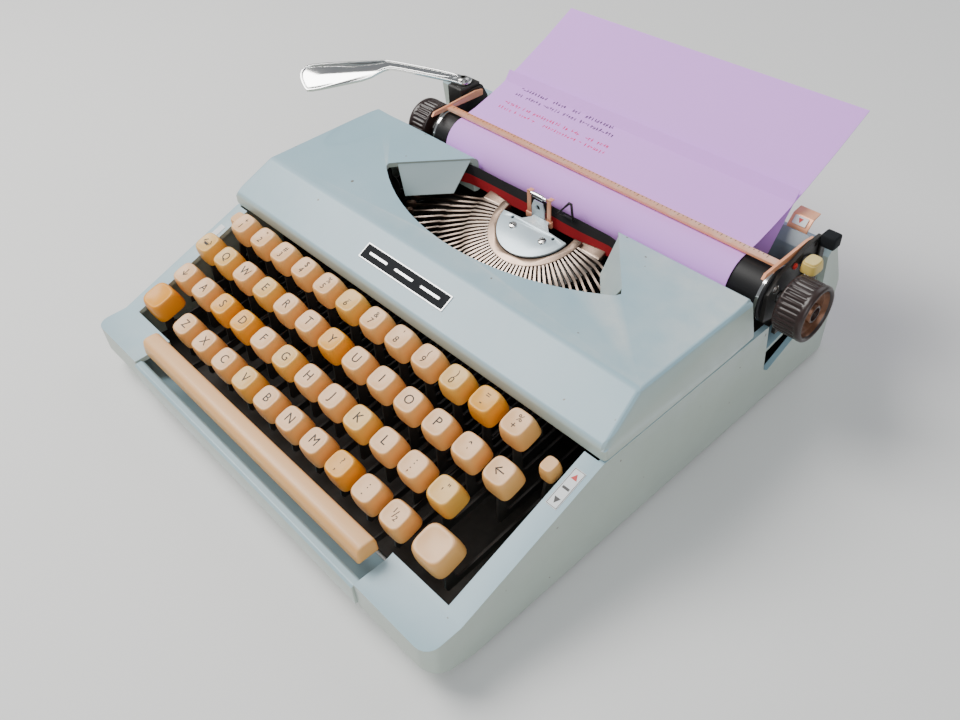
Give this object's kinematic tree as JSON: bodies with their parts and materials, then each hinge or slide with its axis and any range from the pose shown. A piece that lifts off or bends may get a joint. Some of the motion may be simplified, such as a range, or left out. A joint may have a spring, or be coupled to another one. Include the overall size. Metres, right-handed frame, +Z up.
{
  "type": "typewriter",
  "caption": "Slim portable typewriter with a pale blue-grey case, cream keys, an open type basket, a sliding carriage with a platen and a lilac sheet of paper in it.",
  "frame": {"origin": "middle of the bottom of the overall box, at the soles of the feet", "axes": "+Z up, -Y towards the person typing, +X to the typist's right, along the platen"},
  "size_m": [0.3534, 0.3168, 0.1237],
  "materials": {
    "case_paint": "satin pale blue-grey moulded plastic",
    "key_plastic": "cream moulded plastic",
    "aged_key_plastic": "cream plastic yellowed to orange",
    "black_metal": "black enamelled steel",
    "steel": "brushed steel",
    "chrome": "polished chrome plate",
    "copper_steel": "steel scale bar with a warm copper tone",
    "platen_rubber": "matt black rubber",
    "knob_plastic": "dark brown moulded plastic",
    "paper": "matt lilac paper",
    "ribbon": "black and red inked cloth",
    "grey_paint": "blue-grey enamel"
  },
  "bodies": {
    "case": {"base_shell": "case_paint", "front_panel": "case_paint", "bottom_plate": "black_metal", "mechanism_frame": "black_metal", "typebars": "steel", "ink_ribbon": "ribbon"},
    "cover": {"top_cover": "case_paint"},
    "carriage": {"carriage_frame": "black_metal", "paper_sheet": "paper", "paper_table": "grey_paint"},
    "platen": {"platen": "platen_rubber", "platen_knob_left": "knob_plastic", "platen_knob_right": "knob_plastic"},
    "return_lever": {"return_lever": "chrome"},
    "paper_bail": {"paper_bail": "copper_steel"},
    "carriage_release": {"carriage_release_lever": "steel"},
    "paper_release": {"paper_release_lever": "black_metal"},
    "spool_left": {"ribbon_spool_left": "ribbon"},
    "spool_right": {"ribbon_spool_right": "ribbon"},
    "vibrator": {"ribbon_vibrator": "chrome"},
    "colour_selector": {"colour_selector": "key_plastic"},
    "touch_lever": {"touch_lever": "key_plastic"},
    "space_bar": {"space_bar": "key_plastic"},
    "shift": {"shift_bail": "key_plastic"},
    "shift_lock": {"shift_lock_key": "key_plastic"},
    "number_keys": {"number_key_bank": "key_plastic"},
    "backspace": {"backspace_key": "key_plastic"},
    "margin_release": {"margin_release_key": "key_plastic"},
    "key_q": {"key_q": "key_plastic"},
    "key_w": {"key_w": "key_plastic"},
    "key_e": {"key_e": "key_plastic"},
    "key_r": {"key_r": "key_plastic"},
    "key_t": {"key_t": "key_plastic"},
    "key_y": {"key_y": "aged_key_plastic"},
    "key_u": {"key_u": "key_plastic"},
    "key_i": {"key_i": "key_plastic"},
    "key_o": {"key_o": "key_plastic"},
    "key_p": {"key_p": "key_plastic"},
    "key_accent": {"key_accent": "key_plastic"},
    "key_a": {"key_a": "key_plastic"},
    "key_s": {"key_s": "aged_key_plastic"},
    "key_d": {"key_d": "aged_key_plastic"},
    "key_f": {"key_f": "key_plastic"},
    "key_g": {"key_g": "key_plastic"},
    "key_h": {"key_h": "key_plastic"},
    "key_j": {"key_j": "key_plastic"},
    "key_k": {"key_k": "key_plastic"},
    "key_l": {"key_l": "key_plastic"},
    "key_colon": {"key_colon": "key_plastic"},
    "key_quote": {"key_quote": "key_plastic"},
    "key_z": {"key_z": "key_plastic"},
    "key_x": {"key_x": "key_plastic"},
    "key_c": {"key_c": "key_plastic"},
    "key_v": {"key_v": "key_plastic"},
    "key_b": {"key_b": "key_plastic"},
    "key_n": {"key_n": "key_plastic"},
    "key_m": {"key_m": "key_plastic"},
    "key_comma": {"key_comma": "aged_key_plastic"},
    "key_period": {"key_period": "key_plastic"},
    "key_slash": {"key_slash": "key_plastic"}
  },
  "joints": [
    {"name": "cover_lift", "type": "slide", "parent": "case", "child": "cover", "axis": [0, 0, 1], "range_m": [0, 0.06]},
    {"name": "carriage_slide", "type": "slide", "parent": "case", "child": "carriage", "axis": [1, 0, 0], "range_m": [-0.135, 0.085]},
    {"name": "return_lever_swing", "type": "hinge", "parent": "carriage", "child": "return_lever", "pos_m": [-0.08265, 0.08631, 0.0955], "axis": [0, 0, -1], "range_deg": [-40, 0], "stiffness_Nm_per_rad": 0.1, "springref_deg": 28.65},
    {"name": "bail_lift", "type": "hinge", "parent": "carriage", "child": "paper_bail", "pos_m": [0.03985, 0.09031, 0.0901], "axis": [-1, 0, 0], "range_deg": [0, 70]},
    {"name": "platen_turn", "type": "hinge", "parent": "carriage", "child": "platen", "pos_m": [0.03985, 0.06531, 0.0735], "axis": [1, 0, 0], "continuous": true},
    {"name": "space_bar_press", "type": "hinge", "parent": "case", "child": "space_bar", "pos_m": [0.01535, 0.03281, 0.038], "axis": [1, 0, 0], "range_deg": [0, 1.5], "stiffness_Nm_per_rad": 0.6, "springref_deg": -17.19},
    {"name": "shift_press", "type": "hinge", "parent": "case", "child": "shift", "pos_m": [0.01535, 0.03281, 0.038], "axis": [1, 0, 0], "range_deg": [0, 2.9], "stiffness_Nm_per_rad": 0.5, "springref_deg": -17.19},
    {"name": "shift_lock_press", "type": "hinge", "parent": "shift", "child": "shift_lock", "pos_m": [-0.09955, -0.06219, 0.03], "axis": [1, 0, 0], "range_deg": [0, 3], "stiffness_Nm_per_rad": 0.02, "springref_deg": -17.19},
    {"name": "number_keys_press", "type": "hinge", "parent": "case", "child": "number_keys", "pos_m": [0.01535, 0.03281, 0.038], "axis": [1, 0, 0], "range_deg": [0, 6], "stiffness_Nm_per_rad": 0.6, "springref_deg": -17.19},
    {"name": "backspace_press", "type": "hinge", "parent": "case", "child": "backspace", "pos_m": [0.01535, 0.03281, 0.038], "axis": [1, 0, 0], "range_deg": [0, 5], "stiffness_Nm_per_rad": 0.1, "springref_deg": -17.19},
    {"name": "margin_release_press", "type": "hinge", "parent": "case", "child": "margin_release", "pos_m": [0.01535, 0.03281, 0.038], "axis": [1, 0, 0], "range_deg": [0, 5], "stiffness_Nm_per_rad": 0.1, "springref_deg": -17.19},
    {"name": "colour_selector_rock", "type": "hinge", "parent": "case", "child": "colour_selector", "pos_m": [0.13985, -0.07119, 0.036], "axis": [1, 0, 0], "range_deg": [-12, 12]},
    {"name": "touch_lever_rock", "type": "hinge", "parent": "case", "child": "touch_lever", "pos_m": [-0.10965, -0.06669, 0.036], "axis": [1, 0, 0], "range_deg": [-6, 12]},
    {"name": "carriage_release_pull", "type": "hinge", "parent": "carriage", "child": "carriage_release", "pos_m": [0.15435, 0.08501, 0.0765], "axis": [-1, 0, 0], "range_deg": [0, 8], "stiffness_Nm_per_rad": 0.05, "springref_deg": -28.65},
    {"name": "paper_release_pull", "type": "hinge", "parent": "carriage", "child": "paper_release", "pos_m": [0.15435, 0.09501, 0.073], "axis": [-1, 0, 0], "range_deg": [0, 10]},
    {"name": "spool_turn", "type": "hinge", "parent": "case", "child": "spool_left", "pos_m": [-0.08265, 0.00381, 0.0585], "axis": [0, 0, 1], "continuous": true},
    {"name": "spool_right_turn", "type": "hinge", "parent": "case", "child": "spool_right", "pos_m": [0.12535, 0.00381, 0.0585], "axis": [0, 0, 1], "continuous": true},
    {"name": "vibrator_lift", "type": "slide", "parent": "case", "child": "vibrator", "axis": [0, 0, 1], "range_m": [0, 0.006]},
    {"name": "key_q_press", "type": "hinge", "parent": "case", "child": "key_q", "pos_m": [0.01535, 0.03281, 0.038], "axis": [1, 0, 0], "range_deg": [0, 5], "stiffness_Nm_per_rad": 0.1, "springref_deg": -17.19},
    {"name": "key_w_press", "type": "hinge", "parent": "case", "child": "key_w", "pos_m": [0.01535, 0.03281, 0.038], "axis": [1, 0, 0], "range_deg": [0, 5], "stiffness_Nm_per_rad": 0.1, "springref_deg": -17.19},
    {"name": "key_e_press", "type": "hinge", "parent": "case", "child": "key_e", "pos_m": [0.01535, 0.03281, 0.038], "axis": [1, 0, 0], "range_deg": [0, 5], "stiffness_Nm_per_rad": 0.1, "springref_deg": -17.19},
    {"name": "key_r_press", "type": "hinge", "parent": "case", "child": "key_r", "pos_m": [0.01535, 0.03281, 0.038], "axis": [1, 0, 0], "range_deg": [0, 5], "stiffness_Nm_per_rad": 0.1, "springref_deg": -17.19},
    {"name": "key_t_press", "type": "hinge", "parent": "case", "child": "key_t", "pos_m": [0.01535, 0.03281, 0.038], "axis": [1, 0, 0], "range_deg": [0, 5], "stiffness_Nm_per_rad": 0.1, "springref_deg": -17.19},
    {"name": "key_y_press", "type": "hinge", "parent": "case", "child": "key_y", "pos_m": [0.01535, 0.03281, 0.038], "axis": [1, 0, 0], "range_deg": [0, 5], "stiffness_Nm_per_rad": 0.1, "springref_deg": -17.19},
    {"name": "key_u_press", "type": "hinge", "parent": "case", "child": "key_u", "pos_m": [0.01535, 0.03281, 0.038], "axis": [1, 0, 0], "range_deg": [0, 5], "stiffness_Nm_per_rad": 0.1, "springref_deg": -17.19},
    {"name": "key_i_press", "type": "hinge", "parent": "case", "child": "key_i", "pos_m": [0.01535, 0.03281, 0.038], "axis": [1, 0, 0], "range_deg": [0, 5], "stiffness_Nm_per_rad": 0.1, "springref_deg": -17.19},
    {"name": "key_o_press", "type": "hinge", "parent": "case", "child": "key_o", "pos_m": [0.01535, 0.03281, 0.038], "axis": [1, 0, 0], "range_deg": [0, 5], "stiffness_Nm_per_rad": 0.1, "springref_deg": -17.19},
    {"name": "key_p_press", "type": "hinge", "parent": "case", "child": "key_p", "pos_m": [0.01535, 0.03281, 0.038], "axis": [1, 0, 0], "range_deg": [0, 5], "stiffness_Nm_per_rad": 0.1, "springref_deg": -17.19},
    {"name": "key_accent_press", "type": "hinge", "parent": "case", "child": "key_accent", "pos_m": [0.01535, 0.03281, 0.038], "axis": [1, 0, 0], "range_deg": [0, 5], "stiffness_Nm_per_rad": 0.1, "springref_deg": -17.19},
    {"name": "key_a_press", "type": "hinge", "parent": "case", "child": "key_a", "pos_m": [0.01535, 0.03281, 0.038], "axis": [1, 0, 0], "range_deg": [0, 4.3], "stiffness_Nm_per_rad": 0.1, "springref_deg": -17.19},
    {"name": "key_s_press", "type": "hinge", "parent": "case", "child": "key_s", "pos_m": [0.01535, 0.03281, 0.038], "axis": [1, 0, 0], "range_deg": [0, 4.3], "stiffness_Nm_per_rad": 0.1, "springref_deg": -17.19},
    {"name": "key_d_press", "type": "hinge", "parent": "case", "child": "key_d", "pos_m": [0.01535, 0.03281, 0.038], "axis": [1, 0, 0], "range_deg": [0, 4.3], "stiffness_Nm_per_rad": 0.1, "springref_deg": -17.19},
    {"name": "key_f_press", "type": "hinge", "parent": "case", "child": "key_f", "pos_m": [0.01535, 0.03281, 0.038], "axis": [1, 0, 0], "range_deg": [0, 4.3], "stiffness_Nm_per_rad": 0.1, "springref_deg": -17.19},
    {"name": "key_g_press", "type": "hinge", "parent": "case", "child": "key_g", "pos_m": [0.01535, 0.03281, 0.038], "axis": [1, 0, 0], "range_deg": [0, 4.3], "stiffness_Nm_per_rad": 0.1, "springref_deg": -17.19},
    {"name": "key_h_press", "type": "hinge", "parent": "case", "child": "key_h", "pos_m": [0.01535, 0.03281, 0.038], "axis": [1, 0, 0], "range_deg": [0, 4.3], "stiffness_Nm_per_rad": 0.1, "springref_deg": -17.19},
    {"name": "key_j_press", "type": "hinge", "parent": "case", "child": "key_j", "pos_m": [0.01535, 0.03281, 0.038], "axis": [1, 0, 0], "range_deg": [0, 4.3], "stiffness_Nm_per_rad": 0.1, "springref_deg": -17.19},
    {"name": "key_k_press", "type": "hinge", "parent": "case", "child": "key_k", "pos_m": [0.01535, 0.03281, 0.038], "axis": [1, 0, 0], "range_deg": [0, 4.3], "stiffness_Nm_per_rad": 0.1, "springref_deg": -17.19},
    {"name": "key_l_press", "type": "hinge", "parent": "case", "child": "key_l", "pos_m": [0.01535, 0.03281, 0.038], "axis": [1, 0, 0], "range_deg": [0, 4.3], "stiffness_Nm_per_rad": 0.1, "springref_deg": -17.19},
    {"name": "key_colon_press", "type": "hinge", "parent": "case", "child": "key_colon", "pos_m": [0.01535, 0.03281, 0.038], "axis": [1, 0, 0], "range_deg": [0, 4.3], "stiffness_Nm_per_rad": 0.1, "springref_deg": -17.19},
    {"name": "key_quote_press", "type": "hinge", "parent": "case", "child": "key_quote", "pos_m": [0.01535, 0.03281, 0.038], "axis": [1, 0, 0], "range_deg": [0, 4.3], "stiffness_Nm_per_rad": 0.1, "springref_deg": -17.19},
    {"name": "key_z_press", "type": "hinge", "parent": "case", "child": "key_z", "pos_m": [0.01535, 0.03281, 0.038], "axis": [1, 0, 0], "range_deg": [0, 3.8], "stiffness_Nm_per_rad": 0.1, "springref_deg": -17.19},
    {"name": "key_x_press", "type": "hinge", "parent": "case", "child": "key_x", "pos_m": [0.01535, 0.03281, 0.038], "axis": [1, 0, 0], "range_deg": [0, 3.8], "stiffness_Nm_per_rad": 0.1, "springref_deg": -17.19},
    {"name": "key_c_press", "type": "hinge", "parent": "case", "child": "key_c", "pos_m": [0.01535, 0.03281, 0.038], "axis": [1, 0, 0], "range_deg": [0, 3.8], "stiffness_Nm_per_rad": 0.1, "springref_deg": -17.19},
    {"name": "key_v_press", "type": "hinge", "parent": "case", "child": "key_v", "pos_m": [0.01535, 0.03281, 0.038], "axis": [1, 0, 0], "range_deg": [0, 3.8], "stiffness_Nm_per_rad": 0.1, "springref_deg": -17.19},
    {"name": "key_b_press", "type": "hinge", "parent": "case", "child": "key_b", "pos_m": [0.01535, 0.03281, 0.038], "axis": [1, 0, 0], "range_deg": [0, 3.8], "stiffness_Nm_per_rad": 0.1, "springref_deg": -17.19},
    {"name": "key_n_press", "type": "hinge", "parent": "case", "child": "key_n", "pos_m": [0.01535, 0.03281, 0.038], "axis": [1, 0, 0], "range_deg": [0, 3.8], "stiffness_Nm_per_rad": 0.1, "springref_deg": -17.19},
    {"name": "key_m_press", "type": "hinge", "parent": "case", "child": "key_m", "pos_m": [0.01535, 0.03281, 0.038], "axis": [1, 0, 0], "range_deg": [0, 3.8], "stiffness_Nm_per_rad": 0.1, "springref_deg": -17.19},
    {"name": "key_comma_press", "type": "hinge", "parent": "case", "child": "key_comma", "pos_m": [0.01535, 0.03281, 0.038], "axis": [1, 0, 0], "range_deg": [0, 3.8], "stiffness_Nm_per_rad": 0.1, "springref_deg": -17.19},
    {"name": "key_period_press", "type": "hinge", "parent": "case", "child": "key_period", "pos_m": [0.01535, 0.03281, 0.038], "axis": [1, 0, 0], "range_deg": [0, 3.8], "stiffness_Nm_per_rad": 0.1, "springref_deg": -17.19},
    {"name": "key_slash_press", "type": "hinge", "parent": "case", "child": "key_slash", "pos_m": [0.01535, 0.03281, 0.038], "axis": [1, 0, 0], "range_deg": [0, 3.8], "stiffness_Nm_per_rad": 0.1, "springref_deg": -17.19}
  ],
  "couplings": [
    {"joint": "spool_right_turn", "follows": "spool_turn", "ratio": 1}
  ]
}
